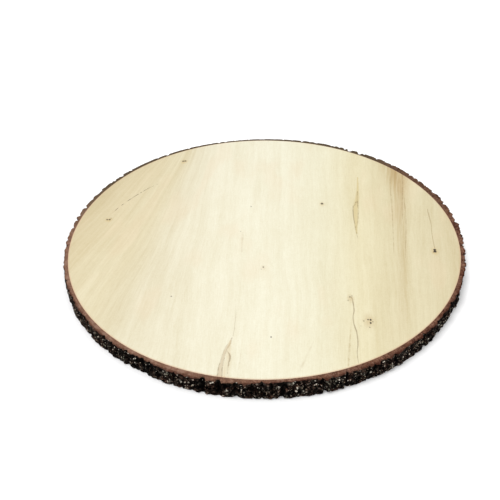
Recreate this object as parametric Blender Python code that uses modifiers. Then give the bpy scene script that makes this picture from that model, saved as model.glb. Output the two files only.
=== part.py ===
"""A round slice of a lime trunk with its bark on: a flat, pale disc of wood inside a ring of ridged bark.

Metres, +Z up. The slice lies on its sawn underside, and the origin is the middle of that face.
"""

import collections
import math
import random

import bmesh
import bpy
from mathutils import Vector, noise

# Driving dimensions
WOOD_RADIUS = 0.160
THICKNESS = 0.015
BARK_THICKNESS = 0.0043

# The wood's outline is a circle with slow lobes: (lobes round the trunk, height, turn in degrees)
WOOD_LOBES = ((1, 0.00130, 156), (2, 0.00155, 82), (3, 0.00026, -37), (4, 0.00014, 130))
WOOD_SIDES = 220
WOOD_EDGE_ROUNDING = 0.0004

# Bark shrinks more than wood as the slice dries, so it ends just inside the two saw cuts
SEAT_GAP = 0.0003
BARK_TOP = THICKNESS - 0.0002
BARK_BOTTOM = 0.0004

# The bark is thicker on some sides of the trunk than on others, in slow lobes as the wood's are
BARK_LOBES = ((1, 0.00070, 30), (2, 0.00057, 72), (3, 0.00087, 102))

# Both rims are eased with sandpaper: the cut top is flat to just short of the ridges, then slopes down
TOP_EASE = 0.0008
TOP_SLOPE_DROP = 0.0012
UNDER_EASE = 0.0003
UNDER_SLOPE_DROP = 0.0008
SLOPE_RUN = 0.0026

# Furrows run up the trunk with a ridge of bark between each and the next. Every few are deep ones
FURROW_COUNT = 128
FURROW_SEED = 7
UNEVEN_GAPS = (0.45, 1.65)
DEEP_SHARE = 0.26
DEEP_FURROW = (0.0012, 0.0023)
DEEP_HALF_WIDTH = (0.0014, 0.0028)
SHALLOW_FURROW = (0.0003, 0.0010)
SHALLOW_HALF_WIDTH = (0.0009, 0.0015)
FURROW_FADE = 0.6
FURROW_LEAN = 0.18
WANDER_REACH = 0.0008
WANDER_LENGTH = 0.006
RIDGE_STEP = 0.0005
RIDGE_CROWN = 0.0003
CRACK_DEPTH = (0.0004, 0.0011)
CRACK_HALF_WIDTH = 0.0016
CRACK_TILT = 0.3
KNOBS_WIDTH = 0.0038
KNOBS_HEIGHT = 0.0012
SWELL_WIDTH = 0.034
SWELL_HEIGHT = 0.0011
LEAST_BARK = 0.0014

# A ridge's columns of points: the furrow's bottom, one flank, the crown and the other flank
COLUMNS_PER_RIDGE = 4
WALL_ROWS = 7

WOOD_COLOUR = (0.72, 0.67, 0.51, 1.0)
BARK_COLOUR = (0.045, 0.031, 0.025, 1.0)

Furrow = collections.namedtuple(
    "Furrow", "angle lean half_width depth fade ridge_height crack_z crack_depth crack_tilt"
)


def clear_scene():
    for obj in list(bpy.data.objects):
        bpy.data.objects.remove(obj, do_unlink=True)


def material(name, colour, roughness):
    made = bpy.data.materials.new(name)
    made.use_nodes = True
    shader = made.node_tree.nodes["Principled BSDF"]
    shader.inputs["Base Color"].default_value = colour
    shader.inputs["Roughness"].default_value = roughness
    shader.inputs["Metallic"].default_value = 0.0
    return made


def eased(share):
    """Turns 0 to 1 into 0 to 1 with a soft start and end."""
    share = min(max(share, 0.0), 1.0)
    return share * share * (3.0 - 2.0 * share)


def deal_furrows():
    """Deals the furrows round the trunk, each with the ridge and the cross crack that follow it."""
    draw = random.Random(FURROW_SEED)
    gaps = [draw.uniform(*UNEVEN_GAPS) for _ in range(FURROW_COUNT)]
    turn = math.tau / sum(gaps)
    angle, dealt = 0.0, []
    for gap in gaps:
        deep = draw.random() < DEEP_SHARE
        dealt.append(Furrow(
            angle=angle,
            lean=draw.uniform(-FURROW_LEAN, FURROW_LEAN),
            half_width=draw.uniform(*(DEEP_HALF_WIDTH if deep else SHALLOW_HALF_WIDTH)),
            depth=draw.uniform(*(DEEP_FURROW if deep else SHALLOW_FURROW)),
            fade=draw.uniform(-FURROW_FADE, FURROW_FADE),
            ridge_height=draw.uniform(-RIDGE_STEP, RIDGE_STEP),
            crack_z=draw.uniform(BARK_BOTTOM, BARK_TOP),
            crack_depth=draw.uniform(*CRACK_DEPTH),
            crack_tilt=draw.uniform(-CRACK_TILT, CRACK_TILT),
        ))
        angle += gap * turn
    return dealt


FURROWS = deal_furrows()


def lobed(base, lobes, angle):
    """A length that swells and shrinks slowly round the trunk."""
    return base + sum(height * math.cos(count * angle - math.radians(turn)) for count, height, turn in lobes)


def wood_edge(angle):
    """The wood's radius at this angle."""
    return lobed(WOOD_RADIUS, WOOD_LOBES, angle)


def furrow_angle(number, z):
    """Where a furrow's bottom runs at this height, counted on past a full turn for the last ridge."""
    turns, index = divmod(number, FURROW_COUNT)
    furrow = FURROWS[index]
    wander = WANDER_REACH * noise.noise((index * 1.37, z / WANDER_LENGTH, 4.2))
    along = furrow.lean * (z - THICKNESS / 2) + wander
    return furrow.angle + turns * math.tau + along / WOOD_RADIUS


def groove(number, away, z):
    """How deep a furrow cuts at this distance from its bottom. It fades towards one of its ends."""
    furrow = FURROWS[number % FURROW_COUNT]
    height = 2.0 * z / THICKNESS - 1.0
    depth = furrow.depth * (1.0 - max(0.0, furrow.fade * height))
    return depth * (1.0 - eased(away / furrow.half_width) ** 2)


def bark_depth(ridge, across, z):
    """How far the bark stands out from the wood on this ridge, across it from 0 to 1, with its rims eased."""
    start, end = furrow_angle(ridge, z), furrow_angle(ridge + 1, z)
    angle = start + (end - start) * across
    furrow = FURROWS[ridge]
    spot = Vector((math.cos(angle) * WOOD_RADIUS, math.sin(angle) * WOOD_RADIUS, z))
    swell = SWELL_HEIGHT * noise.noise(spot / SWELL_WIDTH)
    knobs = KNOBS_HEIGHT * noise.noise(spot / KNOBS_WIDTH)
    crown = RIDGE_CROWN * (1.0 - (2.0 * across - 1.0) ** 2)
    ridge_run = (angle - start) * WOOD_RADIUS
    from_crack = abs(z - furrow.crack_z - furrow.crack_tilt * ridge_run)
    crack = furrow.crack_depth * (1.0 - eased(from_crack / CRACK_HALF_WIDTH))
    cut = max(
        groove(ridge, (angle - start) * WOOD_RADIUS, z),
        groove(ridge + 1, (end - angle) * WOOD_RADIUS, z),
        crack,
    )
    relief = swell + knobs + furrow.ridge_height + crown - cut
    thickness = lobed(BARK_THICKNESS, BARK_LOBES, angle)
    natural = max(LEAST_BARK, thickness + relief * thickness / BARK_THICKNESS)
    below_top = thickness - TOP_EASE + SLOPE_RUN * (BARK_TOP - z) / TOP_SLOPE_DROP
    above_bottom = thickness - UNDER_EASE + SLOPE_RUN * (z - BARK_BOTTOM) / UNDER_SLOPE_DROP
    return min(natural, below_top, above_bottom)


def wood_disc(collection):
    bpy.ops.mesh.primitive_cylinder_add(
        vertices=WOOD_SIDES, radius=WOOD_RADIUS, depth=THICKNESS, location=(0, 0, THICKNESS / 2)
    )
    disc = bpy.context.object
    disc.name = "wood_disc"
    for vertex in disc.data.vertices:
        angle = math.atan2(vertex.co.y, vertex.co.x)
        vertex.co.xy = Vector((math.cos(angle), math.sin(angle))) * wood_edge(angle)
    rim = disc.modifiers.new("sawn_edge", "BEVEL")
    rim.width = WOOD_EDGE_ROUNDING
    rim.segments = 2
    rim.limit_method = "ANGLE"
    finish(disc, material("lime_wood", WOOD_COLOUR, 0.55), collection)


def turned_ring(name, profile, steps):
    """Turns a closed profile of (radius, height) points about the Z axis, and returns it as a plain mesh."""
    outline = bpy.data.meshes.new(name)
    count = len(profile)
    outline.from_pydata([(radius, 0, height) for radius, height in profile],
                        [(i, (i + 1) % count) for i in range(count)], [])
    turner = bpy.data.objects.new(name, outline)
    bpy.context.scene.collection.objects.link(turner)
    screw = turner.modifiers.new("turn", "SCREW")
    screw.axis = "Z"
    screw.steps = screw.render_steps = steps
    screw.use_merge_vertices = True
    screw.merge_threshold = 0.00001
    graph = bpy.context.evaluated_depsgraph_get()
    ring = bpy.data.meshes.new_from_object(turner.evaluated_get(graph))
    bpy.data.objects.remove(turner)
    return ring


def wall_heights():
    """The heights of the bark wall's rows, from the top rim down to the bottom one."""
    high, low = BARK_TOP - TOP_SLOPE_DROP, BARK_BOTTOM + UNDER_SLOPE_DROP
    between = [high + (low - high) * row / (WALL_ROWS - 1) for row in range(WALL_ROWS)]
    return [BARK_TOP, *between, BARK_BOTTOM]


def place_across(ridge, column, z):
    """How far across its ridge a column stands, from 0 at one furrow's bottom to 1 at the next."""
    run = (furrow_angle(ridge + 1, z) - furrow_angle(ridge, z)) * WOOD_RADIUS
    near = min(0.4, FURROWS[ridge].half_width / run)
    far = max(0.6, 1.0 - FURROWS[(ridge + 1) % FURROW_COUNT].half_width / run)
    return (0.0, near, (near + far) / 2, far)[column]


def bark_ring(collection):
    inner = WOOD_RADIUS
    outer = WOOD_RADIUS + BARK_THICKNESS
    columns = FURROW_COUNT * COLUMNS_PER_RIDGE
    profile = [(inner, BARK_TOP), *((outer, z) for z in wall_heights()), (inner, BARK_BOTTOM)]
    ring = bpy.data.objects.new("bark_ring", turned_ring("bark_ring", profile, columns))
    collection.objects.link(ring)
    halfway = (inner + outer) / 2
    for vertex in ring.data.vertices:
        turned = math.atan2(vertex.co.y, vertex.co.x) % math.tau
        ridge, column = divmod(round(turned / math.tau * columns) % columns, COLUMNS_PER_RIDGE)
        z = vertex.co.z
        across = place_across(ridge, column, z)
        start, end = furrow_angle(ridge, z), furrow_angle(ridge + 1, z)
        angle = start + (end - start) * across
        radius = wood_edge(angle) + SEAT_GAP
        if vertex.co.xy.length > halfway:
            radius += bark_depth(ridge, across, z)
        vertex.co.xy = Vector((math.cos(angle), math.sin(angle))) * radius
    weld_and_point_outwards(ring.data)
    finish(ring, material("lime_bark", BARK_COLOUR, 0.9), collection)


def weld_and_point_outwards(mesh):
    shape = bmesh.new()
    shape.from_mesh(mesh)
    bmesh.ops.remove_doubles(shape, verts=shape.verts, dist=0.00001)
    bmesh.ops.recalc_face_normals(shape, faces=shape.faces)
    shape.to_mesh(mesh)
    shape.free()


def finish(obj, surface, collection):
    """Gives the object its material and shading, and keeps it in the slice's collection only."""
    obj.data.materials.clear()
    obj.data.materials.append(surface)
    obj.data.shade_smooth()
    obj.data.set_sharp_from_angle(angle=math.radians(35))
    for other in list(obj.users_collection):
        other.objects.unlink(obj)
    collection.objects.link(obj)


def main():
    clear_scene()
    wood_slice = bpy.data.collections.new("wood_slice")
    bpy.context.scene.collection.children.link(wood_slice)
    wood_disc(wood_slice)
    bark_ring(wood_slice)


main()
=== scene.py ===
"""The looks of a round slice of lime trunk: a pale sawn face inside a ring of dark, craggy bark.

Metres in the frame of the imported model, +Z up. Material distances are in millimetres.
"""

import bisect
import collections
import math
import random

import bmesh
import bpy
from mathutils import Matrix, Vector, noise


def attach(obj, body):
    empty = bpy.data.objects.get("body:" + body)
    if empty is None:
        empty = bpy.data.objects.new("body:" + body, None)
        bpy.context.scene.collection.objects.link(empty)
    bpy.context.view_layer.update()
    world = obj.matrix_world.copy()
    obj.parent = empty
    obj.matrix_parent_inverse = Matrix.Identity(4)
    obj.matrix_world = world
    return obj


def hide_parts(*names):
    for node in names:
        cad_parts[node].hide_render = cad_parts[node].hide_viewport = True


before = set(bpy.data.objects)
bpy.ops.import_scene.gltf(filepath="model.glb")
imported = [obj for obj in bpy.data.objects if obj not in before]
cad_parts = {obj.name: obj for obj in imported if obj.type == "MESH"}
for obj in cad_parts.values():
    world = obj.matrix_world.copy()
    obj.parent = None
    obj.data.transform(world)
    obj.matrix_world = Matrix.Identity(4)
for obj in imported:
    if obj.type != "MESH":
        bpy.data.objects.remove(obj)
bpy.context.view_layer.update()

# The slice's own dimensions, the same as in its solids
WOOD_RADIUS = 0.160
THICKNESS = 0.015
BARK_THICKNESS = 0.0043
WOOD_LOBES = ((1, 0.00130, 156), (2, 0.00155, 82), (3, 0.00026, -37), (4, 0.00014, 130))
BARK_LOBES = ((1, 0.00070, 30), (2, 0.00057, 72), (3, 0.00087, 102))
BARK_TOP = THICKNESS - 0.0002
BARK_BOTTOM = 0.0004
TOP_EASE = 0.0008
TOP_SLOPE_DROP = 0.0012
UNDER_EASE = 0.0003
UNDER_SLOPE_DROP = 0.0008
SLOPE_RUN = 0.0026

# The furrows of the solid bark, dealt from the same seed
FURROW_COUNT = 128
FURROW_SEED = 7
UNEVEN_GAPS = (0.45, 1.65)
DEEP_SHARE = 0.26
DEEP_FURROW = (0.0012, 0.0023)
DEEP_HALF_WIDTH = (0.0014, 0.0028)
SHALLOW_FURROW = (0.0003, 0.0010)
SHALLOW_HALF_WIDTH = (0.0009, 0.0015)
FURROW_FADE = 0.6
FURROW_LEAN = 0.18
WANDER_REACH = 0.0008
WANDER_LENGTH = 0.006
WANDER_APART = 1.37
WANDER_LAYER = 4.2
RIDGE_STEP = 0.0005
RIDGE_CROWN = 0.0003
CRACK_DEPTH = (0.0004, 0.0011)
CRACK_HALF_WIDTH = 0.0016
CRACK_TILT = 0.3
KNOBS_WIDTH = 0.0038
KNOBS_HEIGHT = 0.0012
SWELL_WIDTH = 0.034
SWELL_HEIGHT = 0.0011
LEAST_BARK = 0.0014

# What is finer than the solids: flakes of cork with cracks between them, and grit on them
BARK_COLUMNS = 1600
FLAT_ROWS = 5
SLOPE_ROWS = 10
WALL_ROWS = 26
UNDER_SLOPE_ROWS = 4
UNDER_FLAT_ROWS = 4
FLAKE_SEED = 5
FLAKE_WIDTH = 0.0023
FLAKE_LENGTH = 0.0032
FLAKE_BEND = 0.0009
FLAKE_BEND_WIDTH = 0.004
FLAKE_STEP = 0.0015
FLAKE_STEP_SPREAD = 7.31
FLAKE_STEP_PLACE = Vector((1.7, 9.2, 3.3))
FLAKE_CRACK = 0.0008
FLAKE_CRACK_SHARE = 0.25
GRIT_WIDTH = 0.0014
GRIT_HEIGHT = 0.0009
SANDED_GRIT = 0.00012
SANDED_GRIT_WIDTH = 0.0007
UNDERSIDE_GRIT_SHARE = 0.3
WORN_RIM = 0.0045
WORN_SHARE = 0.3
FINE_RELIEF_SUNK = 0.0004
MERGE_DISTANCE = 0.00001
BARK_SMOOTH_ANGLE = math.radians(40)

# Loose chips of cork that cling to the outside, most of them in clumps
CHIP_COUNT = 6000
CHIP_SEED = 21
CHIP_HALF_WIDTH = (0.00025, 0.0007)
CHIP_PROUD = (0.25, 0.55)
BROAD_CHIP_SHARE = 0.12
BROAD_CHIP_HALF_WIDTH = (0.0006, 0.0011)
BROAD_CHIP_PROUD = (0.15, 0.3)
CHIP_NARROWING = (0.7, 1.0)
CHIP_STRETCH = (0.8, 2.0)
CHIP_TILT = 0.5
CHIP_SUNK_SHARE = 0.35
CHIP_LEAST_REACH = 0.55
CHIP_UNEVENNESS = 0.8
CLUMP_COUNT = 700
CLUMP_SHARE = 0.75
CLUMP_WIDTH = 0.0016
CLUMP_HEIGHT = 0.0013
CLUMP_TONE_SHARE = 0.6
CHIP_FREE_RIM = 0.0022
CHIP_FREE_DEPTH = -0.0006
PALE_CHIP_SHARE = 0.2

WOOD_SIDES = 720
WOOD_EDGE_ROUNDING = 0.0004
WOOD_OVERLAP = 0.00015
WOOD_SMOOTH_ANGLE = math.radians(32)
LEVEL_WITHIN = 0.0001
UPWARD = Vector((0.0, 0.0, 1.0))
MILLIMETRES = 1000.0

Furrow = collections.namedtuple(
    "Furrow", "angle lean half_width depth fade ridge_height crack_z crack_depth crack_tilt"
)


# Bark relief

def eased(share):
    share = min(max(share, 0.0), 1.0)
    return share * share * (3.0 - 2.0 * share)


def deal_furrows():
    draw = random.Random(FURROW_SEED)
    gaps = [draw.uniform(*UNEVEN_GAPS) for _ in range(FURROW_COUNT)]
    turn = math.tau / sum(gaps)
    angle, dealt = 0.0, []
    for gap in gaps:
        deep = draw.random() < DEEP_SHARE
        dealt.append(Furrow(
            angle=angle,
            lean=draw.uniform(-FURROW_LEAN, FURROW_LEAN),
            half_width=draw.uniform(*(DEEP_HALF_WIDTH if deep else SHALLOW_HALF_WIDTH)),
            depth=draw.uniform(*(DEEP_FURROW if deep else SHALLOW_FURROW)),
            fade=draw.uniform(-FURROW_FADE, FURROW_FADE),
            ridge_height=draw.uniform(-RIDGE_STEP, RIDGE_STEP),
            crack_z=draw.uniform(BARK_BOTTOM, BARK_TOP),
            crack_depth=draw.uniform(*CRACK_DEPTH),
            crack_tilt=draw.uniform(-CRACK_TILT, CRACK_TILT),
        ))
        angle += gap * turn
    return dealt


FURROWS = deal_furrows()
noise.seed_set(FLAKE_SEED)


def lobed(base, lobes, angle):
    """A length that swells and shrinks slowly round the trunk."""
    return base + sum(
        height * math.cos(count * angle - math.radians(turn)) for count, height, turn in lobes
    )


def outwards(angle):
    return Vector((math.cos(angle), math.sin(angle)))


def wood_edge(angle):
    return lobed(WOOD_RADIUS, WOOD_LOBES, angle)


def furrow_angle(number, z):
    turns, index = divmod(number, FURROW_COUNT)
    furrow = FURROWS[index]
    wander = WANDER_REACH * noise.noise((index * WANDER_APART, z / WANDER_LENGTH, WANDER_LAYER))
    along = furrow.lean * (z - THICKNESS / 2) + wander
    return furrow.angle + turns * math.tau + along / WOOD_RADIUS


def groove(number, away, z):
    furrow = FURROWS[number % FURROW_COUNT]
    height = 2.0 * z / THICKNESS - 1.0
    depth = furrow.depth * (1.0 - max(0.0, furrow.fade * height))
    return depth * (1.0 - eased(away / furrow.half_width) ** 2)


def furrow_lines(z):
    """The angles of the furrows' bottoms at this height, in order, one turn and a furrow long."""
    return [furrow_angle(number, z) for number in range(FURROW_COUNT + 1)]


def solid_relief(angle, z, lines):
    """How far the solid bark stands out past its mean surface here. lines is furrow_lines(z)."""
    while angle < lines[0]:
        angle += math.tau
    while angle >= lines[FURROW_COUNT]:
        angle -= math.tau
    ridge = min(bisect.bisect_right(lines, angle) - 1, FURROW_COUNT - 1)
    start, end = lines[ridge], lines[ridge + 1]
    across = (angle - start) / (end - start)
    furrow = FURROWS[ridge]
    spot = Vector((math.cos(angle) * WOOD_RADIUS, math.sin(angle) * WOOD_RADIUS, z))
    swell = SWELL_HEIGHT * noise.noise(spot / SWELL_WIDTH)
    knobs = KNOBS_HEIGHT * noise.noise(spot / KNOBS_WIDTH)
    crown = RIDGE_CROWN * (1.0 - (2.0 * across - 1.0) ** 2)
    ridge_run = (angle - start) * WOOD_RADIUS
    from_crack = abs(z - furrow.crack_z - furrow.crack_tilt * ridge_run)
    crack = furrow.crack_depth * (1.0 - eased(from_crack / CRACK_HALF_WIDTH))
    cut = max(
        groove(ridge, (angle - start) * WOOD_RADIUS, z),
        groove(ridge + 1, (end - angle) * WOOD_RADIUS, z),
        crack,
    )
    return swell + knobs + furrow.ridge_height + crown - cut


def flaking(angle, z):
    """The finer relief: (height, which flake from 0 to 1)."""
    spot = Vector((math.cos(angle) * WOOD_RADIUS, math.sin(angle) * WOOD_RADIUS, z))
    bent = spot + FLAKE_BEND * noise.noise_vector(spot / FLAKE_BEND_WIDTH)
    cell = Vector((bent.x / FLAKE_WIDTH, bent.y / FLAKE_WIDTH, bent.z / FLAKE_LENGTH))
    distances, points = noise.voronoi(cell)
    which = 0.5 + 0.5 * noise.noise(points[0] * FLAKE_STEP_SPREAD + FLAKE_STEP_PLACE)
    crack = FLAKE_CRACK * (1.0 - eased((distances[1] - distances[0]) / FLAKE_CRACK_SHARE))
    grit = GRIT_HEIGHT * noise.noise(spot / GRIT_WIDTH)
    inside = min(z - BARK_BOTTOM, BARK_TOP - z) / WORN_RIM
    worn = WORN_SHARE + (1.0 - WORN_SHARE) * eased(inside)
    return (FLAKE_STEP * (which - 0.5) - crack + grit) * worn - FINE_RELIEF_SUNK, which


def sanding_limit(thickness, z):
    """How far bark of this thickness may stand out at this height after both rims were eased."""
    below_top = thickness - TOP_EASE + SLOPE_RUN * (BARK_TOP - z) / TOP_SLOPE_DROP
    above_bottom = thickness - UNDER_EASE + SLOPE_RUN * (z - BARK_BOTTOM) / UNDER_SLOPE_DROP
    return min(below_top, above_bottom)


# Modelling helpers

def select_only(obj):
    bpy.ops.object.select_all(action="DESELECT")
    obj.select_set(True)
    bpy.context.view_layer.objects.active = obj


def edit(obj, mode):
    select_only(obj)
    bpy.ops.object.mode_set(mode="EDIT")
    bpy.ops.mesh.select_mode(type=mode)
    bpy.ops.mesh.select_all(action="DESELECT")
    bpy.ops.object.mode_set(mode="OBJECT")


def apply_modifiers(obj):
    select_only(obj)
    for modifier in list(obj.modifiers):
        bpy.ops.object.modifier_apply(modifier=modifier.name)


def dress(piece, finish, node):
    piece.data.materials.clear()
    piece.data.materials.append(finish)
    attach(piece, "root")
    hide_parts(node)


# The wood

def sawn_wood(finish):
    bpy.ops.mesh.primitive_cylinder_add(
        vertices=WOOD_SIDES, radius=WOOD_RADIUS, depth=THICKNESS, location=(0, 0, THICKNESS / 2)
    )
    wood = bpy.context.object
    wood.name = "sawn_wood"
    wood.data.name = "sawn_wood"
    bpy.ops.object.transform_apply(location=True)
    for vertex in wood.data.vertices:
        angle = math.atan2(vertex.co.y, vertex.co.x)
        vertex.co.xy = outwards(angle) * (wood_edge(angle) + WOOD_OVERLAP)
    edit(wood, "EDGE")
    for edge in wood.data.edges:
        ends = [wood.data.vertices[i].co.z for i in edge.vertices]
        edge.select = abs(ends[0] - ends[1]) < LEVEL_WITHIN
    bpy.ops.object.mode_set(mode="EDIT")
    bpy.ops.mesh.bevel(offset=WOOD_EDGE_ROUNDING, segments=3, profile=0.5)
    bpy.ops.object.mode_set(mode="OBJECT")
    bpy.ops.object.shade_smooth_by_angle(angle=WOOD_SMOOTH_ANGLE)
    dress(wood, finish, "wood_disc")


# The bark

def bark_outline():
    """The rows round the bark's section, each as (share of the bark's depth, height)."""
    high, low = BARK_TOP - TOP_SLOPE_DROP, BARK_BOTTOM + UNDER_SLOPE_DROP

    def down(top, bottom, count, first=0):
        return [(1.0, top + (bottom - top) * row / count) for row in range(first, count)]

    rows = [(row / FLAT_ROWS, BARK_TOP) for row in range(FLAT_ROWS + 1)]
    rows += down(BARK_TOP, high, SLOPE_ROWS, 1)
    rows += down(high, low, WALL_ROWS)
    rows += down(low, BARK_BOTTOM, UNDER_SLOPE_ROWS)
    rows += [(1.0 - row / UNDER_FLAT_ROWS, BARK_BOTTOM) for row in range(UNDER_FLAT_ROWS + 1)]
    return rows


def turned_ring(name, rows):
    mesh = bpy.data.meshes.new(name)
    count = len(rows)
    mesh.from_pydata([(WOOD_RADIUS + share * BARK_THICKNESS, 0, z) for share, z in rows],
                     [(i, (i + 1) % count) for i in range(count)], [])
    ring = bpy.data.objects.new(name, mesh)
    bpy.context.scene.collection.objects.link(ring)
    screw = ring.modifiers.new("turn", "SCREW")
    screw.axis = "Z"
    screw.steps = screw.render_steps = BARK_COLUMNS
    screw.use_merge_vertices = True
    screw.merge_threshold = MERGE_DISTANCE
    apply_modifiers(ring)
    return ring


def craggy_bark(finish):
    ring = turned_ring("craggy_bark", bark_outline())
    mesh = ring.data
    lines = {}
    from_wood, cut_in, to_rim, flake, hollow = [], [], [], [], []
    for vertex in mesh.vertices:
        z = round(vertex.co.z, 7)
        share = (vertex.co.xy.length - WOOD_RADIUS) / BARK_THICKNESS
        angle = math.atan2(vertex.co.y, vertex.co.x) % math.tau
        if z not in lines:
            lines[z] = furrow_lines(z)
        fine, which = flaking(angle, z)
        thickness = lobed(BARK_THICKNESS, BARK_LOBES, angle)
        relief = (solid_relief(angle, z, lines[z]) + fine) * thickness / BARK_THICKNESS
        natural = max(LEAST_BARK, thickness + relief)
        sanded_grit = SANDED_GRIT * noise.noise(vertex.co / SANDED_GRIT_WIDTH)
        stands_out = min(natural, sanding_limit(thickness, z) + sanded_grit) * share
        vertex.co.xy = outwards(angle) * (wood_edge(angle) + stands_out)
        on_outside = share > 0.99
        if not on_outside:
            vertex.co.z += sanded_grit * (1.0 if z > THICKNESS / 2 else UNDERSIDE_GRIT_SHARE)
        from_wood.append(stands_out * MILLIMETRES)
        cut_in.append((natural - stands_out) * MILLIMETRES)
        to_rim.append((thickness - stands_out) * MILLIMETRES)
        flake.append(which)
        hollow.append(-fine * MILLIMETRES)
    worked_out = {
        "from_wood": from_wood, "cut_in": cut_in, "to_rim": to_rim, "flake": flake, "hollow": hollow,
    }
    for name, values in worked_out.items():
        mesh.attributes.new(name, "FLOAT", "POINT").data.foreach_set("value", values)
    shape = bmesh.new()
    shape.from_mesh(mesh)
    bmesh.ops.recalc_face_normals(shape, faces=shape.faces)
    shape.to_mesh(mesh)
    shape.free()
    select_only(ring)
    bpy.ops.object.shade_smooth_by_angle(angle=BARK_SMOOTH_ANGLE)
    dress(ring, finish, "bark_ring")


def chip_form():
    """The points and faces of the small ball that every chip is pressed from."""
    bpy.ops.object.select_all(action="DESELECT")
    bpy.ops.mesh.primitive_ico_sphere_add(subdivisions=1, radius=1.0, location=(0, 0, 0))
    ball = bpy.context.object
    points = [vertex.co.copy() for vertex in ball.data.vertices]
    faces = [tuple(face.vertices) for face in ball.data.polygons]
    bpy.data.objects.remove(ball)
    return points, faces


def cork_chips(finish):
    """Small chips stuck all over the bark's outside, each sunk a little into it."""
    draw = random.Random(CHIP_SEED)
    points, faces = chip_form()
    corners, sides, tones = [], [], []
    lowest, highest = BARK_BOTTOM + CHIP_FREE_RIM, BARK_TOP - CHIP_FREE_RIM

    def anywhere():
        """Some (angle, height, tone) on the bark."""
        return draw.uniform(0.0, math.tau), draw.uniform(lowest, highest), draw.random()

    clumps = [anywhere() for _ in range(CLUMP_COUNT)]
    for _ in range(CHIP_COUNT):
        angle, z, clump_tone = draw.choice(clumps)
        if draw.random() < CLUMP_SHARE:
            angle += draw.gauss(0.0, CLUMP_WIDTH) / WOOD_RADIUS
            z = min(max(z + draw.gauss(0.0, CLUMP_HEIGHT), lowest), highest)
        else:
            angle, z, clump_tone = anywhere()
        broad = draw.random() < BROAD_CHIP_SHARE
        half_width = draw.uniform(*(BROAD_CHIP_HALF_WIDTH if broad else CHIP_HALF_WIDTH))
        width = half_width * draw.uniform(*CHIP_NARROWING)
        length = width * draw.uniform(*CHIP_STRETCH)
        proud = width * draw.uniform(*(BROAD_CHIP_PROUD if broad else CHIP_PROUD))
        turn = draw.uniform(0.0, math.tau)
        tilt = draw.uniform(-CHIP_TILT, CHIP_TILT)
        tone = CLUMP_TONE_SHARE * clump_tone + (1.0 - CLUMP_TONE_SHARE) * draw.random()
        thickness = lobed(BARK_THICKNESS, BARK_LOBES, angle)
        angle %= math.tau
        fine, _which = flaking(angle, z)
        solid = solid_relief(angle, z, furrow_lines(z))
        if solid < CHIP_FREE_DEPTH:
            continue
        relief = (solid + fine) * thickness / BARK_THICKNESS
        out = min(max(LEAST_BARK, thickness + relief), sanding_limit(thickness, z))
        radius = wood_edge(angle) + out - proud * CHIP_SUNK_SHARE
        outward = outwards(angle).to_3d()
        sideways = Vector((-math.sin(angle), math.cos(angle), 0.0))
        seat = outward * radius + UPWARD * z
        along = sideways * math.cos(turn) + UPWARD * math.sin(turn)
        across = UPWARD * math.cos(turn) - sideways * math.sin(turn)
        lean = (outward + along * tilt).normalized()
        first = len(corners)
        for point in points:
            reach = CHIP_LEAST_REACH + CHIP_UNEVENNESS * draw.random()
            from_seat = along * point.x * length + across * point.y * width + lean * point.z * proud
            corners.append(seat + from_seat * reach)
            tones.append(tone)
        sides.extend(tuple(first + corner for corner in face) for face in faces)
    mesh = bpy.data.meshes.new("cork_chips")
    mesh.from_pydata(corners, [], sides)
    chips = bpy.data.objects.new("cork_chips", mesh)
    bpy.context.scene.collection.objects.link(chips)
    mesh.attributes.new("tone", "FLOAT", "POINT").data.foreach_set("value", tones)
    edit(chips, "FACE")
    bpy.ops.object.mode_set(mode="EDIT")
    bpy.ops.mesh.select_all(action="SELECT")
    bpy.ops.mesh.normals_make_consistent(inside=False)
    bpy.ops.object.mode_set(mode="OBJECT")
    chips.data.materials.append(finish)
    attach(chips, "root")


# Materials

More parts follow.
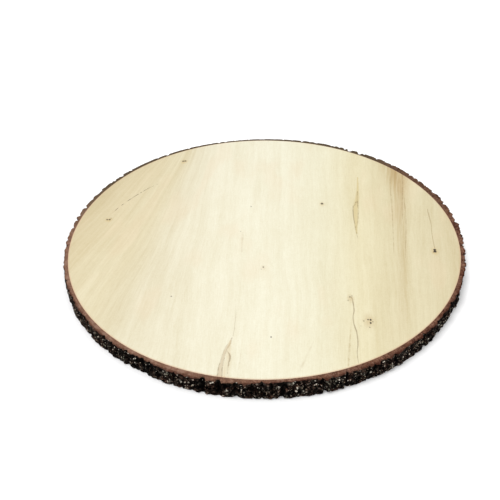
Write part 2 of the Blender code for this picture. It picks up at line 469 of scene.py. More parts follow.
class Finish:
    """A material in the making. Each method adds nodes and gives back the socket to read."""

    def __init__(self, name, middle=(0.0, 0.0, 0.0)):
        self.material = bpy.data.materials.new(name)
        self.material.use_nodes = True
        self.tree = self.material.node_tree
        self.shader = self.tree.nodes["Principled BSDF"]
        metres = self.add("ShaderNodeTexCoord").outputs["Object"]
        millimetres = self.vector("SCALE", metres, scale=MILLIMETRES)
        self.from_axis = self.vector("MULTIPLY", millimetres, (1.0, 1.0, 0.0))
        self.place = self.vector("SUBTRACT", millimetres, middle)
        self.x, self.y, self.z = self.add("ShaderNodeSeparateXYZ", {0: self.place}).outputs

    def add(self, kind, inputs=None, **settings):
        made = self.tree.nodes.new(kind)
        for name, value in settings.items():
            setattr(made, name, value)
        for key, value in (inputs or {}).items():
            self.plug(value, made.inputs[key])
        return made

    def plug(self, value, socket):
        if isinstance(value, bpy.types.NodeSocket):
            self.tree.links.new(value, socket)
        else:
            socket.default_value = value

    def vector(self, operation, first, second=None, scale=None):
        made = self.add("ShaderNodeVectorMath", {0: first}, operation=operation)
        if second is not None:
            self.plug(second, made.inputs[1])
        if scale is not None:
            self.plug(scale, made.inputs["Scale"])
        return made.outputs["Value" if operation == "LENGTH" else "Vector"]

    def joined(self, x, y, z):
        return self.add("ShaderNodeCombineXYZ", {0: x, 1: y, 2: z}).outputs[0]

    def math(self, operation, *values):
        return self.add("ShaderNodeMath", dict(enumerate(values)), operation=operation).outputs[0]

    def noise(self, place, scale=1.0, detail=2.0, roughness=0.5):
        made = self.add("ShaderNodeTexNoise", {
            "Vector": place, "Scale": scale, "Detail": detail, "Roughness": roughness,
        })
        return made.outputs[0]

    def shifts(self, place, scale, reach):
        """A small shift at each place, of up to about half the reach each way."""
        made = self.add("ShaderNodeTexNoise", {"Vector": place, "Scale": scale, "Detail": 1.0})
        return self.vector("SCALE", self.vector("SUBTRACT", made.outputs[1], (0.5, 0.5, 0.5)), scale=reach)

    def swing(self, value, least=-1.0, most=1.0):
        """A noise's value, from 0 to 1, spread over another range."""
        return self.math("MULTIPLY_ADD", value, most - least, least)

    def cells(self, place, scale):
        """How near the middle of a cell a point is, and a number from 0 to 1 for each cell."""
        made = self.add("ShaderNodeTexVoronoi", {"Vector": place, "Scale": scale})
        which = self.add("ShaderNodeSeparateColor", {0: made.outputs["Color"]}).outputs[0]
        return made.outputs["Distance"], which

    def between(self, value, low, high, to_low=0.0, to_high=1.0, kind="SMOOTHSTEP"):
        made = self.add("ShaderNodeMapRange", {
            "Value": value, "From Min": low, "From Max": high, "To Min": to_low, "To Max": to_high,
        }, interpolation_type=kind)
        return made.outputs[0]

    def mix(self, share, first, second, blend="MIX"):
        made = self.add("ShaderNodeMix", data_type="RGBA", blend_type=blend)
        self.plug(share, made.inputs[0])
        self.plug(first, made.inputs[6])
        self.plug(second, made.inputs[7])
        return made.outputs[2]

    def tinted(self, colour, value, low, high, share, tint):
        """The colour, turned up to a share of the way to the tint as the value goes from low to high."""
        return self.mix(self.between(value, low, high, 0.0, share), colour, tint)

    def ramp(self, value, stops, low=0.0, high=1.0):
        """A colour for each value. stops are (value, colour) from low to high."""
        share = self.between(value, low, high, kind="LINEAR")
        made = self.add("ShaderNodeValToRGB", {0: share})
        elements = made.color_ramp.elements
        while len(elements) < len(stops):
            elements.new(0.5)
        for element, (at, colour) in zip(elements, stops):
            element.position = (at - low) / (high - low)
            element.color = colour
        return made.outputs[0]

    def curve(self, value, points):
        """A number for each value, on a smooth curve through (value, number) points."""
        values = [point[0] for point in points]
        numbers = [point[1] for point in points]
        low, high = min(values), max(values)
        least, most = min(numbers), max(numbers)
        span = max(most - least, 0.001)
        share = self.between(value, low, high, kind="LINEAR")
        made = self.add("ShaderNodeFloatCurve", {"Value": share})
        line = made.mapping.curves[0]
        while len(line.points) < len(points):
            line.points.new(0.5, 0.5)
        for spot, (at, number) in zip(line.points, sorted(points)):
            spot.location = ((at - low) / (high - low), (number - least) / span)
        made.mapping.update()
        return self.math("MULTIPLY_ADD", made.outputs[0], span, least)

    def attribute(self, name):
        return self.add("ShaderNodeAttribute", attribute_name=name).outputs["Fac"]

    def bump(self, height, distance, strength, normal=None):
        made = self.add("ShaderNodeBump", {"Height": height, "Distance": distance, "Strength": strength})
        if normal is not None:
            self.plug(normal, made.inputs["Normal"])
        return made.outputs[0]


# The studio's light is brighter than one, so every surface is this much darker than it looks
LIGHT_SHARE = 0.82


def shade(red, green, blue):
    """A surface that looks like this colour, given as on a screen from 0 to 255."""
    def linear(value):
        value /= 255.0
        return LIGHT_SHARE * (value / 12.92 if value <= 0.04045 else ((value + 0.055) / 1.055) ** 2.4)
    return (linear(red), linear(green), linear(blue), 1.0)


# Places on the face are counted from here, in millimetres from the slice's own middle
FACE_MIDDLE = (-2.67, 0.28, 0.0)

GRAIN_LEAN = (
    # where a line of grain crosses the middle, how far it leans for each millimetre up the face
    (-175, 0.46), (-147, 0.42), (-125, 0.35), (-95, 0.22), (-68, 0.12), (-32, 0.05), (20, 0.035),
    (70, 0.06), (112, 0.105), (140, 0.14), (175, 0.15),
)

FACE_COLOURS = (
    # millimetres across the grain, colour
    (-165, shade(208, 193, 155)),
    (-140, shade(214, 200, 163)),
    (-118, shade(220, 209, 175)),
    (-102, shade(217, 205, 170)),
    (-80, shade(222, 213, 184)),
    (-42, shade(232, 226, 201)),
    (15, shade(234, 229, 204)),
    (50, shade(230, 224, 195)),
    (80, shade(225, 215, 178)),
    (104, shade(219, 208, 171)),
    (140, shade(217, 206, 170)),
    (165, shade(211, 197, 159)),
)
GRAIN_DARKENS = (0.90, 0.87, 0.80, 1.0)
GRAIN_LIGHTENS = (1.10, 1.13, 1.20, 1.0)
HAIR_BROWN = shade(176, 152, 104)
WARM_CREAM = shade(232, 206, 172)
RIM_TAN = shade(214, 176, 142)

# Streaks that run with the grain: (y, x) points, then (y, half width) points, all in millimetres
BROWN_BAND = (
    ((130, 124.0), (115, 123.5), (90, 122.4), (58, 120.1), (21, 117.0), (-14, 113.4), (-52, 108.5),
     (-87, 104.4), (-132, 97.2)),
    ((130, 24.0), (115, 22.0), (90, 15.0), (58, 10.5), (21, 9.0), (-14, 8.5), (-52, 8.5),
     (-87, 8.0), (-132, 5.5)),
)
BAND_STRENGTH = ((-132, 0.12), (-60, 0.24), (0, 0.26), (40, 0.38), (80, 0.75), (130, 1.0))
BROWN_BAND_HEART = (
    ((128, 119.5), (90, 122.5), (58, 121.0), (21, 117.5), (-14, 113.6), (-52, 109.6), (-87, 105.4),
     (-110, 101.0)),
    ((128, 9.0), (90, 8.0), (58, 7.0), (21, 6.6), (-14, 6.6), (-52, 6.6), (-87, 5.0), (-110, 0.5)),
)
HEART_STRENGTH = ((-110, 0.2), (0, 0.3), (60, 0.55), (128, 1.0))
BROWN_BAND_LINES = (
    (
        ((112, 130.0), (97.8, 128.8), (80.5, 126.5), (60, 123.6), (44.5, 121.3), (30, 119.9)),
        ((112, 0.2), (97.8, 0.8), (80.5, 0.9), (60, 0.6), (44.5, 0.6), (30, 0.1)),
    ),
    (
        ((62, 125.8), (52.9, 124.6), (39.3, 123.6), (13.1, 120.4), (-11.1, 116.7), (-24, 115.0)),
        ((62, 0.1), (52.9, 0.6), (39.3, 0.7), (13.1, 0.6), (-11.1, 0.5), (-24, 0.1)),
    ),
    (
        ((96, 117.2), (70, 114.6), (40, 112.2), (4, 108.6), (-20, 106.0)),
        ((96, 0.2), (70, 0.6), (40, 0.7), (4, 0.5), (-20, 0.1)),
    ),
)
MINERAL_FILL = (
    ((95, 87.4), (72, 85.4), (56, 83.0), (45, 81.2), (33, 80.2), (24, 79.6), (16, 78.9), (8, 78.8)),
    ((95, 0.8), (72, 1.8), (56, 3.2), (45, 3.4), (33, 3.0), (24, 2.4), (16, 1.6), (8, 0.6)),
)
MINERAL_LINES = (
    (
        ((56, 82.5), (51.4, 81.1), (46.3, 79.0), (37.8, 78.4), (27.5, 78.2), (18, 78.5),
         (10.3, 78.6), (1.7, 78.8)),
        ((56, 0.4), (51.4, 1.1), (46.3, 0.9), (37.8, 0.8), (27.5, 0.7), (18, 1.0),
         (10.3, 0.7), (1.7, 0.1)),
    ),
    (
        ((72, 85.4), (63.8, 84.3), (54.4, 83.6), (45.3, 83.3), (33.4, 82.1), (24.6, 80.8),
         (17.4, 78.9)),
        ((72, 0.2), (63.8, 1.1), (54.4, 1.1), (45.3, 0.6), (33.4, 0.6), (24.6, 0.6), (17.4, 0.2)),
    ),
)
WAVY_LINE = (
    ((-72.1, 66.5), (-76.3, 67.5), (-85.5, 67.7), (-98.4, 66.0), (-106.4, 66.6), (-115.7, 67.4),
     (-124.8, 67.0), (-138, 65.5), (-143.9, 65.7)),
    ((-72.1, 0.7), (-76.3, 0.8), (-85.5, 0.7), (-98.4, 0.6), (-106.4, 0.8), (-115.7, 0.8),
     (-124.8, 0.6), (-138, 0.4), (-143.9, 0.1)),
)
SECOND_LINE = (
    ((-104.6, 63.7), (-120.2, 61.7), (-130.8, 60.3), (-146.7, 58.2)),
    ((-104.6, 0.1), (-120.2, 1.0), (-130.8, 1.2), (-146.7, 0.9)),
)
RIM_STREAK = (
    ((-117.4, -23.9), (-122.5, -24.7), (-131.1, -28.2), (-140.2, -29.9), (-150.2, -31.3), (-160, -31.6)),
    ((-117.4, 0.3), (-122.5, 1.1), (-131.1, 1.5), (-140.2, 1.7), (-150.2, 2.2), (-160, 2.5)),
)
RIM_LINES = (
    (
        ((-124, -26.4), (-131.1, -29.1), (-140.2, -31.0), (-150.2, -32.7), (-160, -33.2)),
        ((-124, 0.2), (-131.1, 0.5), (-140.2, 0.5), (-150.2, 0.7), (-160, 0.9)),
    ),
    (
        ((-117.4, -23.4), (-122.5, -24.2), (-131.1, -27.3), (-140.2, -28.8), (-150.2, -29.9),
         (-160, -29.9)),
        ((-117.4, 0.5), (-122.5, 0.6), (-131.1, 0.5), (-140.2, 0.4), (-150.2, 0.7), (-160, 0.8)),
    ),
    (
        ((-129.8, -27.1), (-131.9, -26.5), (-138.4, -24.6), (-141.9, -25.2), (-144.9, -25.6),
         (-150.2, -26.1), (-154.6, -26.2)),
        ((-129.8, 0.3), (-131.9, 0.5), (-138.4, 1.1), (-141.9, 0.8), (-144.9, 0.6),
         (-150.2, 0.5), (-154.6, 0.1)),
    ),
)
RIM_SMUDGE = (
    ((-120, -24.5), (-131, -26.0), (-138, -26.0), (-146, -27.0), (-158, -28.5)),
    ((-120, 0.8), (-131, 3.2), (-138, 4.0), (-146, 4.4), (-158, 5.0)),
)
THIN_LINE = (
    ((-86, -21.0), (-100, -21.4), (-116, -22.8)),
    ((-86, 0.1), (-100, 0.5), (-116, 0.5)),
)
KNOT_LINE = (
    ((45, 143.4), (38.5, 143.0), (24.3, 143.0), (13.1, 141.8), (0.6, 141.0), (-11.6, 140.5)),
    ((45, 0.2), (38.5, 0.8), (24.3, 0.6), (13.1, 0.4), (0.6, 0.5), (-11.6, 0.6)),
)
FAINT_STREAKS = (
    (
        ((-132.9, -16.9), (-146.8, -18.3), (-158, -19.2)),
        ((-132.9, 0.3), (-146.8, 0.8), (-158, 0.8)),
    ),
    (
        ((-121, 35.4), (-136.9, 29.5), (-152, 23.4)),
        ((-121, 0.5), (-136.9, 1.6), (-152, 1.8)),
    ),
    (
        ((11, -16.8), (-3.5, -16.9), (-17, -17.2)),
        ((11, 0.4), (-3.5, 1.5), (-17, 0.4)),
    ),
)
DASHED_LINE = (
    ((39, -128.7), (48, -123.8), (59, -116.2), (69, -108.2), (78, -100.1), (84, -92.9)),
    ((39, 0.1), (48, 0.5), (59, 0.55), (69, 0.5), (78, 0.4), (84, 0.05)),
)

# Spots, each as x, y and radius in millimetres, and how dark it is. Some knots are two grown together
KNOTS = (
    (-72.9, 122.2, 1.5, 0.75),
    (-70.9, 122.7, 1.4, 0.75),
    (-132.2, 28.8, 1.2, 0.8),
    (-130.2, 28.9, 1.2, 0.85),
    (-129.2, 30.6, 0.7, 0.6),
    (52.4, 52.7, 1.6, 0.9),
    (140.1, -15.6, 1.8, 1.0),
    (140.2, -13.4, 1.7, 1.0),
    (138.8, -16.6, 0.8, 0.6),
)
PORES = (
    (77.0, -98.1, 0.8, 0.9),
    (78.9, -98.4, 1.05, 1.0),
    (78.6, -101.8, 1.0, 1.0),
    (77.4, -106.5, 0.7, 0.5),
    (73.7, -99.6, 0.8, 0.45),
    (80.3, -100.4, 0.8, 0.45),
    (71.0, -105.1, 0.6, 0.25),
    (65.8, -72.3, 0.9, 0.6),
    (67.5, -71.2, 0.6, 0.6),
    (64.2, -76.4, 0.9, 0.3),
    (-18.3, 11.9, 0.6, 0.4),
    (0.1, -35.9, 0.85, 0.75),
    (-1.6, -38.6, 0.6, 0.3),
    (-9.5, 48.3, 0.8, 0.5),
    (4.8, -116.9, 0.85, 0.7),
    (-70.7, -71.7, 0.8, 0.6),
)
STAINS = (
    (77.6, -99.5, 6.5, 0.42),
    (66.0, -74.0, 3.8, 0.4),
    (0.2, -36.4, 2.8, 0.2),
)
HALO_DROP = 0.8
HALO_SPREAD = 2.4

# A way of colouring the wood: how strong at most, how soft its edge is from 0 to 1, how far the edge
# wanders, how long a spot is beside its width, and how strong it is on the underside
Stain = collections.namedtuple(
    "Stain", "colour strength softness wander stretch beneath", defaults=(1.0, 0.9, 1.0, 1.0, 0.0)
)
BAND_STAIN = Stain(shade(178, 144, 80), 0.75, 0.95, 2.0, beneath=0.8)
HEART_STAIN = Stain(shade(164, 128, 66), 0.5, 0.95, beneath=0.9)
BAND_LINE_STAIN = Stain(shade(140, 106, 56), 0.42, 0.9, 0.6)
MINERAL_STAIN = Stain(shade(202, 178, 112), 0.5, 0.8, beneath=0.6)
MINERAL_LINE_STAIN = Stain(shade(116, 90, 50), 0.52, 0.9, 0.5)
RIM_SMUDGE_STAIN = Stain(shade(206, 178, 128), 0.45, 0.95)
RIM_STREAK_STAIN = Stain(shade(178, 146, 104), 0.5, 0.8)
RIM_LINE_STAIN = Stain(shade(118, 88, 52), 0.52, 0.9, 0.8)
THIN_LINE_STAIN = Stain(shade(150, 124, 84), 0.3)
FAINT_STREAK_STAIN = Stain(shade(170, 138, 88), 0.2, 0.95)
KNOT_LINE_STAIN = Stain(shade(140, 110, 64), 0.45, 0.95, 0.5)
WAVY_LINE_STAIN = Stain(shade(116, 86, 50), 0.62, 0.9, 0.0)
SECOND_LINE_STAIN = Stain(shade(168, 140, 84), 0.42, 0.95)
DASHED_LINE_STAIN = Stain(shade(88, 72, 48), 0.95, 0.7, 0.0)
ROUND_STAIN = Stain(shade(188, 158, 104), softness=0.95, wander=2.0, stretch=1.8)
KNOT_HALO = Stain(shade(206, 178, 118), 0.35, 0.9, 1.0, 1.4, 0.8)
KNOT_HEART = Stain(shade(52, 38, 18), softness=0.6, wander=0.6, stretch=1.15, beneath=0.7)
PORE = Stain(shade(48, 36, 20), softness=0.6, wander=0.0, stretch=1.4)


def streak_mask(face, mark, softness, shift):
    """1 in the streak and 0 outside it. shift moves its edges about."""
    centre_points, width_points = mark
    half_width = face.curve(face.y, width_points)
    away = face.math("SUBTRACT", face.x, face.curve(face.y, centre_points))
    away = face.math("ABSOLUTE", face.math("ADD", away, shift))
    inner = face.math("MULTIPLY", half_width, 1.0 - softness)
    inside = face.between(away, inner, half_width, 1.0, 0.0)
    ends = [point[0] for point in centre_points]
    along = face.math("MULTIPLY",
                      face.math("GREATER_THAN", face.y, min(ends)),
                      face.math("LESS_THAN", face.y, max(ends)))
    return face.math("MULTIPLY", inside, along)


def spot_mask(face, x, y, radius, stain, shift):
    """1 in the spot and 0 outside it."""
    along = face.math("MULTIPLY", face.math("SUBTRACT", face.y, y), 1.0 / stain.stretch)
    away = face.vector("LENGTH", face.joined(face.math("SUBTRACT", face.x, x), along, 0.0))
    return face.between(face.math("ADD", away, shift), radius * (1.0 - stain.softness), radius, 1.0, 0.0)


def edge_radius(face):
    """The wood's radius in millimetres in each direction, as wood_edge gives it."""
    x, y, _z = face.add("ShaderNodeSeparateXYZ", {0: face.from_axis}).outputs
    angle = face.math("ARCTAN2", y, x)
    radius = WOOD_RADIUS * MILLIMETRES
    for count, height, turn in WOOD_LOBES:
        turned = face.math("MULTIPLY_ADD", angle, float(count), -math.radians(turn))
        radius = face.math("MULTIPLY_ADD", face.math("COSINE", turned), height * MILLIMETRES, radius)
    return radius


def lime_wood():
    face = Finish("lime_wood", FACE_MIDDLE)
    # The grain fans out in straight lines. Each line's lean follows from where it crosses the middle
    across = face.x
    for _ in range(3):
        lean = face.curve(across, GRAIN_LEAN)
        across = face.math("SUBTRACT", face.x, face.math("MULTIPLY", face.y, lean))
    drift = face.noise(face.joined(
        face.math("MULTIPLY", face.x, 0.012), face.math("MULTIPLY", face.y, 0.008), 3.0,
    ))
    across = face.math("ADD", across, face.swing(drift, -6.0, 6.0))

    def grain(width, length, detail=2.0, roughness=0.5):
        """Streaks along the grain, from -1 to 1 about 0."""
        place = face.joined(
            face.math("MULTIPLY", across, 1.0 / width),
            face.math("MULTIPLY", face.y, 1.0 / length),
            face.math("MULTIPLY", face.z, 0.31),
        )
        return face.swing(face.noise(place, 1.0, detail, roughness))

    def total(*parts):
        """The sum of (values, share) pairs."""
        result = 0.0
        for values, share in parts:
            result = face.math("MULTIPLY_ADD", values, share, result)
        return result

    broad = grain(15.0, 200.0)
    bands = grain(4.6, 110.0, 3.0)
    threads = grain(1.25, 40.0, 3.0, 0.6)
    fibres = grain(0.45, 9.0, 2.0, 0.6)
    clouds = face.swing(face.noise(face.place, 0.035, 4.0, 0.6))
    fleck = face.swing(face.noise(face.place, 0.9, 3.0, 0.6))

    # More streaky towards both sides than in the pale middle
    from_middle = face.math("ABSOLUTE", face.math("SUBTRACT", across, 10.0))
    sides = face.between(from_middle, 30.0, 110.0, 0.55, 1.0)
    streaks = total((threads, 0.7), (bands, 0.9), (broad, 0.8))
    tone = total((fleck, 0.7), (clouds, 0.4), (fibres, 0.7), (streaks, sides))
    tone = face.math("MULTIPLY_ADD", tone, 0.5, 0.5)
    colour = face.ramp(across, FACE_COLOURS, FACE_COLOURS[0][0], FACE_COLOURS[-1][0])
    colour = face.mix(1.0, colour, face.mix(tone, GRAIN_DARKENS, GRAIN_LIGHTENS), "MULTIPLY")
    hairs = face.math("MULTIPLY",
                      face.between(threads, 0.28, 0.55),
                      face.between(bands, -0.1, 0.3, 0.25, 1.0))
    hairs = face.math("MULTIPLY", hairs, face.math("MULTIPLY", sides, 0.22))
    colour = face.mix(hairs, colour, HAIR_BROWN)
    colour = face.tinted(colour, grain(26.0, 70.0), 0.05, 0.35, 0.16, WARM_CREAM)

    wobble = face.swing(face.noise(face.place, 0.9, 2.0), -0.6, 0.6)
    on_top = face.math("GREATER_THAN", face.z, THICKNESS * MILLIMETRES / 2)

    def marked(colour, mask, stain):
        """The colour with a stain where the mask is 1."""
        shows = face.math("MULTIPLY_ADD", on_top, 1.0 - stain.beneath, stain.beneath)
        share = face.math("MULTIPLY", face.math("MULTIPLY", mask, shows), stain.strength)
        return face.mix(share, colour, stain.colour)

    def streaked(colour, stain, marks, *shares):
        """The colour with streaks in a stain. Where the shares are less than 1, so is the stain."""
        for mark in marks:
            mask = streak_mask(face, mark, stain.softness, face.math("MULTIPLY", wobble, stain.wander))
            for share in shares:
                mask = face.math("MULTIPLY", mask, share)
            colour = marked(colour, mask, stain)
        return colour

    def spotted(colour, stain, spots):
        for x, y, radius, dark in spots:
            mask = spot_mask(face, x, y, radius, stain, face.math("MULTIPLY", wobble, stain.wander))
            colour = marked(colour, mask, stain._replace(strength=dark))
        return colour

    coarse = total((threads, 0.8), (bands, 1.0))
    colour = streaked(colour, BAND_STAIN, [BROWN_BAND],
                      face.curve(face.y, BAND_STRENGTH), face.between(coarse, -0.5, 0.5, 1.0, 0.3))
    colour = streaked(colour, HEART_STAIN, [BROWN_BAND_HEART],
                      face.curve(face.y, HEART_STRENGTH), face.between(threads, -0.5, 0.5, 1.0, 0.35))
    uneven = face.between(face.noise(face.place, 0.22, 2.0), 0.38, 0.6, 0.35, 1.0)
    colour = streaked(colour, BAND_LINE_STAIN, BROWN_BAND_LINES, uneven)
    colour = streaked(colour, MINERAL_STAIN, [MINERAL_FILL])
    colour = streaked(colour, MINERAL_LINE_STAIN, MINERAL_LINES, uneven)
    colour = streaked(colour, RIM_SMUDGE_STAIN, [RIM_SMUDGE], face.between(threads, -0.4, 0.4, 0.2, 1.0))
    colour = streaked(colour, RIM_STREAK_STAIN, [RIM_STREAK], face.between(threads, -0.4, 0.4, 1.0, 0.6))
    colour = streaked(colour, RIM_LINE_STAIN, RIM_LINES, uneven)
    colour = streaked(colour, THIN_LINE_STAIN, [THIN_LINE])
    colour = streaked(colour, FAINT_STREAK_STAIN, FAINT_STREAKS, uneven)
    colour = streaked(colour, KNOT_LINE_STAIN, [KNOT_LINE])
    colour = streaked(colour, WAVY_LINE_STAIN, [WAVY_LINE], face.swing(uneven, 0.6, 1.0))
    colour = streaked(colour, SECOND_LINE_STAIN, [SECOND_LINE], uneven)
    broken = face.between(face.noise(face.place, 0.35, 1.0), 0.38, 0.58)
    colour = streaked(colour, DASHED_LINE_STAIN, [DASHED_LINE], broken)

    halos = [(x, y - HALO_DROP, radius * HALO_SPREAD, KNOT_HALO.strength) for x, y, radius, _dark in KNOTS]
    colour = spotted(colour, ROUND_STAIN, STAINS)
    colour = spotted(colour, KNOT_HALO, halos)
    colour = spotted(colour, KNOT_HEART, KNOTS)
    colour = spotted(colour, PORE, PORES)

    inwards = face.math("SUBTRACT", edge_radius(face), face.vector("LENGTH", face.from_axis))
    ragged = face.math("ADD", inwards, face.math("MULTIPLY", wobble, 0.3))
    colour = face.tinted(colour, ragged, 1.3, 0.2, 0.5, RIM_TAN)

    face.plug(colour, face.shader.inputs["Base Color"])
    face.plug(face.between(threads, -0.6, 0.6, 0.52, 0.66), face.shader.inputs["Roughness"])
    face.shader.inputs["Specular IOR Level"].default_value = 0.35
    height = total((fibres, 0.4), (threads, 0.6))
    face.plug(face.bump(height, 0.00008, 0.5), face.shader.inputs["Normal"])
    return face.material


# The tones of the cork's grains: (share of them, colour)
GRAINS_BROWN = (
    (0.0, shade(5, 4, 3)), (0.3, shade(26, 18, 15)), (0.6, shade(64, 45, 37)),
    (0.85, shade(112, 82, 68)), (1.0, shade(168, 130, 110)),
)
GRAINS_GREY = (
    (0.0, shade(5, 5, 4)), (0.3, shade(26, 23, 20)), (0.6, shade(70, 64, 56)),
    (0.85, shade(130, 122, 110)), (1.0, shade(200, 192, 178)),
)
CORK_DARK_SIDE = shade(12, 9, 8)
# Painted shade: the cork's colour deep in the furrows and on the sunken flakes
CORK_PAINTED_SHADE = shade(13, 10, 9)
# Painted shade in the pits of the cork's bump
CORK_PAINTED_PIT_SHADE = shade(4, 3, 3)
# Painted shade in the cracks and hollows of the fine relief
CORK_PAINTED_CRACK_SHADE = shade(3, 2, 2)
# Pale flecks on the cork, partly real and partly painted glints
FLECK_AND_GLINT_CREAM = shade(238, 226, 206)
FLECK_AND_GLINT_GREY = shade(196, 194, 184)
PATCH_SCALE = 0.085
PATCH_EDGES = (0.4, 0.62)


def cork_colour(bark, relief, hollow, grit):
    """The outside of the bark: nearly black grains of cork, each with its own tone, a few of them pale,
    partly painted glints.
    """
    patches = bark.noise(bark.place, PATCH_SCALE, 3.0)
    clumps = bark.noise(bark.place, 0.16, 2.0)
    bent = bark.vector("ADD", bark.place, bark.shifts(bark.place, 0.9, 1.2))
    near, which = bark.cells(bent, 0.72)
    brown = bark.ramp(which, GRAINS_BROWN)
    grey = bark.ramp(which, GRAINS_GREY)
    grains = bark.mix(bark.between(clumps, 0.4, 0.6), brown, grey)
    sideways = bark.between(bark.math("ABSOLUTE", bark.x), 20.0, 120.0)
    grains = bark.mix(bark.math("MULTIPLY", sideways, 0.35), grains, CORK_DARK_SIDE)
    # Painted shade: near black where relief is low, deep in the furrows and on the sunken flakes
    cork = bark.mix(relief, CORK_PAINTED_SHADE, grains)
    # Painted shade where grit is low, in the pits of the bump that grit also raises
    cork = bark.tinted(cork, grit, 0.5, 0.36, 0.95, CORK_PAINTED_PIT_SHADE)
    # Painted shade in the cracks and hollows between the flakes, where hollow is deep
    cork = bark.tinted(cork, hollow, 0.5, 1.0, 0.9, CORK_PAINTED_CRACK_SHADE)
    # A grain is pale where its number is above the least one, and more of them are on the right
    # The pale grains are partly real flecks and partly painted glints, kept off the hollows
    least = bark.between(patches, *PATCH_EDGES, 0.95, 0.85)
    more = bark.math("MULTIPLY", sideways, bark.between(bark.x, -20.0, 20.0, 0.05, 0.12))
    chosen = bark.math("GREATER_THAN", which, bark.math("SUBTRACT", least, more))
    fleck_and_glint = bark.math("MULTIPLY", bark.between(near, 0.4, 0.48, 1.0, 0.0), chosen)
    fleck_and_glint = bark.math("MULTIPLY", fleck_and_glint, bark.between(hollow, 0.6, 0.2))
    return bark.mix(fleck_and_glint, cork, bark.mix(bark.noise(bark.place, 0.35), FLECK_AND_GLINT_CREAM, FLECK_AND_GLINT_GREY))


# The living bark under the cork, where it is cut
CUT_RED = shade(104, 62, 45)
CUT_BROWN = shade(130, 86, 66)
CUT_LAYER = shade(130, 95, 76)
CUT_DARK_MOTTLE = shade(62, 36, 27)
CUT_PALE_MOTTLE = shade(156, 116, 95)
CUT_DARK_BLOTCH = shade(80, 46, 36)
CUT_PALE_BLOTCH = shade(168, 138, 122)
CUT_DARK_SPECK = shade(66, 36, 29)
CUT_PALE_SPECK = shade(172, 136, 116)
CUT_BY_WOOD = shade(184, 146, 120)
# Painted light: the cut bark's colour on its left, where the lamp falls
CUT_PAINTED_LIGHT = shade(168, 130, 108)
CUT_WEATHERED = shade(94, 82, 63)
CUT_OUTER_EDGE = shade(72, 36, 28)

# Where the cut bark is darker: its middle and reach round the trunk, in radians, and its depth in mm
BRUISE_ANGLE = math.radians(-86.0)
BRUISE_REACH = 0.2
BRUISE_DEPTH = 1.9

# The cork has broken off the living bark above this height, in mm
TORN_HEIGHT = (13.2, 13.7)


def cut_colour(bark, angle, from_wood):
    """The cut living bark: reddish brown in thin layers, mottled, and greyer towards the back."""
    layers = bark.noise(bark.joined(
        bark.math("MULTIPLY", angle, 9.0),
        bark.math("MULTIPLY", from_wood, 2.6),
        bark.math("MULTIPLY", bark.z, 0.05),
    ), 1.0, 3.0, 0.6)
    patches = bark.noise(bark.place, 0.05, 3.0)
    mottle = bark.noise(bark.place, 0.42, 5.0, 0.75)
    blotches = bark.noise(bark.place, 0.15, 3.0, 0.6)
    speckle = bark.noise(bark.place, 0.8, 2.0, 0.6)
    cut = bark.tinted(CUT_RED, patches, 0.35, 0.65, 1.0, CUT_BROWN)
    cut = bark.tinted(cut, layers, 0.4, 0.7, 0.6, CUT_LAYER)
    cut = bark.tinted(cut, mottle, 0.5, 0.64, 0.7, CUT_DARK_MOTTLE)
    cut = bark.tinted(cut, mottle, 0.5, 0.36, 0.75, CUT_PALE_MOTTLE)
    cut = bark.tinted(cut, blotches, 0.52, 0.6, 0.7, CUT_DARK_BLOTCH)
    pale = bark.math("MULTIPLY",
                     bark.between(blotches, 0.49, 0.41, 0.0, 0.7),
                     bark.between(bark.x, 90.0, -60.0, 0.15, 1.0))
    cut = bark.mix(pale, cut, CUT_PALE_BLOTCH)
    cut = bark.tinted(cut, speckle, 0.54, 0.64, 0.6, CUT_DARK_SPECK)
    cut = bark.tinted(cut, speckle, 0.44, 0.36, 0.5, CUT_PALE_SPECK)
    cut = bark.tinted(cut, from_wood, 0.35, 0.0, 0.55, CUT_BY_WOOD)
    # Painted light: the cut bark is lighter towards the left and a little towards the front, as if lit
    # from there
    lit_from_left = bark.math("MULTIPLY_ADD", bark.x, -0.005, bark.math("MULTIPLY", bark.y, -0.0012))
    cut = bark.tinted(cut, lit_from_left, -0.6, 0.8, 0.5, CUT_PAINTED_LIGHT)
    weathered = bark.math("MULTIPLY",
                          bark.between(bark.y, -10.0, 90.0),
                          bark.between(bark.x, 140.0, 90.0, 0.3, 0.9))
    return bark.mix(weathered, cut, CUT_WEATHERED)


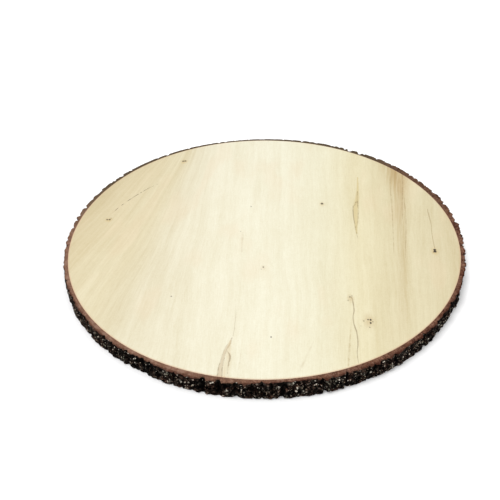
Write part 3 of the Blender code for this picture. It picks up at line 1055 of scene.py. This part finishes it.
def lime_bark():
    bark = Finish("lime_bark")
    from_wood = bark.attribute("from_wood")
    to_rim = bark.attribute("to_rim")
    angle = bark.math("ARCTAN2", bark.y, bark.x)
    cut = cut_colour(bark, angle, from_wood)
    # relief falls from 1 on the high cork towards its least deep in the furrows and on the sunken flakes,
    # for painted shade there
    relief = bark.math("MULTIPLY",
                       bark.between(to_rim, 1.2, -0.3, 0.15, 1.0),
                       bark.between(bark.attribute("flake"), 0.35, 0.6, 0.45, 1.0))
    grit = bark.noise(bark.place, 0.75, 5.0, 0.75)
    cork = cork_colour(bark, relief, bark.attribute("hollow"), grit)

    # The cut ends in a ragged edge. A stretch in front is bruised: its outer half is as dark as the cork
    ragged = bark.swing(bark.noise(bark.place, 0.5, 4.0, 0.65), -1.5, 1.5)
    slow = bark.swing(bark.noise(bark.place, 0.09, 3.0), -1.5, 1.5)
    off_bruise = bark.math("ABSOLUTE", bark.math("SUBTRACT", angle, BRUISE_ANGLE))
    bruise = bark.between(off_bruise, BRUISE_REACH, BRUISE_REACH * 0.5, 0.0, BRUISE_DEPTH)
    edge = bark.math("SUBTRACT", bark.math("ADD", to_rim, bark.math("ADD", ragged, slow)), bruise)
    cut_depth = bark.math("MULTIPLY_ADD", ragged, 0.4, bark.attribute("cut_in"))
    cut_share = bark.math("MULTIPLY",
                          bark.between(cut_depth, 0.15, 0.4),
                          bark.between(edge, -0.7, -0.4))
    # Just under the rim the cork has broken off the same living bark
    torn_place = bark.math("MULTIPLY_ADD", ragged, 0.5, bark.math("MULTIPLY_ADD", slow, 0.6, bark.z))
    torn = bark.between(bark.math("SUBTRACT", torn_place, bruise), *TORN_HEIGHT)
    cut_share = bark.math("MAXIMUM", cut_share, torn)
    cut = bark.tinted(cut, edge, 1.3, -0.3, 0.7, CUT_OUTER_EDGE)
    bark.plug(bark.mix(cut_share, cork, cut), bark.shader.inputs["Base Color"])
    bark.plug(bark.between(cut_share, 0.0, 1.0, 0.95, 0.8), bark.shader.inputs["Roughness"])
    bark.shader.inputs["Specular IOR Level"].default_value = 0.02
    rough = bark.bump(grit, 0.0016, 1.0)
    fine = bark.noise(bark.place, 3.2, 3.0, 0.6)
    bark.plug(bark.bump(fine, 0.0002, 0.5, rough), bark.shader.inputs["Normal"])
    return bark.material


CHIP_DARK = shade(9, 7, 6)
CHIP_BROWN = shade(78, 62, 53)
CHIP_TAN = shade(150, 132, 110)
CHIP_GREY = shade(118, 118, 104)
CHIP_CREAM = shade(222, 212, 196)
CHIP_DIRT = shade(30, 22, 19)


def chip_cork():
    """The loose chips: most as dark as the bark, a few pale where the cork is weathered."""
    chip = Finish("chip_cork")
    tone = chip.attribute("tone")
    grit = chip.noise(chip.place, 1.6, 3.0, 0.65)
    patches = chip.noise(chip.place, PATCH_SCALE, 3.0)
    colour = chip.tinted(CHIP_DARK, tone, 0.3, 0.7, 1.0, CHIP_BROWN)
    least = chip.between(patches, *PATCH_EDGES, 1.0 - PALE_CHIP_SHARE * 0.8, 1.0 - PALE_CHIP_SHARE * 2.0)
    pale = chip.tinted(CHIP_TAN, chip.noise(chip.place, 0.22), 0.4, 0.6, 1.0, CHIP_GREY)
    pale = chip.tinted(pale, tone, 0.84, 0.93, 1.0, CHIP_CREAM)
    colour = chip.mix(chip.math("GREATER_THAN", tone, least), colour, pale)
    colour = chip.tinted(colour, grit, 0.5, 0.7, 0.6, CHIP_DIRT)
    chip.plug(colour, chip.shader.inputs["Base Color"])
    chip.plug(chip.between(grit, 0.3, 0.7, 0.85, 0.97), chip.shader.inputs["Roughness"])
    chip.shader.inputs["Specular IOR Level"].default_value = 0.02
    chip.plug(chip.bump(grit, 0.0003, 0.6), chip.shader.inputs["Normal"])
    return chip.material


# Studio

CAMERA_AIM = Vector((-0.01317, 0.00608, 0.0))
CAMERA_DISTANCE = 0.7586
CAMERA_ELEVATION = math.radians(37.65)
CAMERA_LENS = 64.8
FLOOR_SIZE = 12.0
FLOOR_HEIGHT = -0.0001
PAPER_WHITE = (0.96, 0.96, 0.96, 1.0)
SOFTBOX_PLACE = (-1.2, -0.7, 4.2)
SOFTBOX_SIZE = 2.2
SOFTBOX_WATTS = 85.0


def camera():
    made = bpy.data.cameras.new("camera")
    made.lens = CAMERA_LENS
    made.sensor_width = 36.0
    made.clip_start = 0.01
    eye = bpy.data.objects.new("camera", made)
    bpy.context.scene.collection.objects.link(eye)
    back = Vector((0.0, -math.cos(CAMERA_ELEVATION), math.sin(CAMERA_ELEVATION)))
    eye.location = CAMERA_AIM + back * CAMERA_DISTANCE
    eye.rotation_euler = (math.pi / 2 - CAMERA_ELEVATION, 0.0, 0.0)
    bpy.context.scene.camera = eye


def paper_floor():
    bpy.ops.object.select_all(action="DESELECT")
    bpy.ops.mesh.primitive_plane_add(size=FLOOR_SIZE, location=(0, 0, FLOOR_HEIGHT))
    floor = bpy.context.object
    floor.name = "studio_floor"
    paper = bpy.data.materials.new("white_paper")
    paper.use_nodes = True
    shader = paper.node_tree.nodes["Principled BSDF"]
    shader.inputs["Base Color"].default_value = PAPER_WHITE
    shader.inputs["Roughness"].default_value = 0.9
    shader.inputs["Specular IOR Level"].default_value = 0.1
    floor.data.materials.append(paper)


def studio_light():
    world = bpy.data.worlds.new("studio")
    world.use_nodes = True
    world.node_tree.nodes["Background"].inputs["Color"].default_value = (1.0, 1.0, 1.0, 1.0)
    world.node_tree.nodes["Background"].inputs["Strength"].default_value = 1.0
    bpy.context.scene.world = world
    softbox = bpy.data.lights.new("softbox", "AREA")
    softbox.shape = "DISK"
    softbox.size = SOFTBOX_SIZE
    softbox.energy = SOFTBOX_WATTS
    light = bpy.data.objects.new("softbox", softbox)
    bpy.context.scene.collection.objects.link(light)
    light.location = SOFTBOX_PLACE
    light.rotation_euler = (-Vector(SOFTBOX_PLACE)).to_track_quat("-Z", "Y").to_euler()
    bpy.context.scene.view_settings.view_transform = "Standard"


camera()
sawn_wood(lime_wood())
craggy_bark(lime_bark())
cork_chips(chip_cork())
paper_floor()
studio_light()
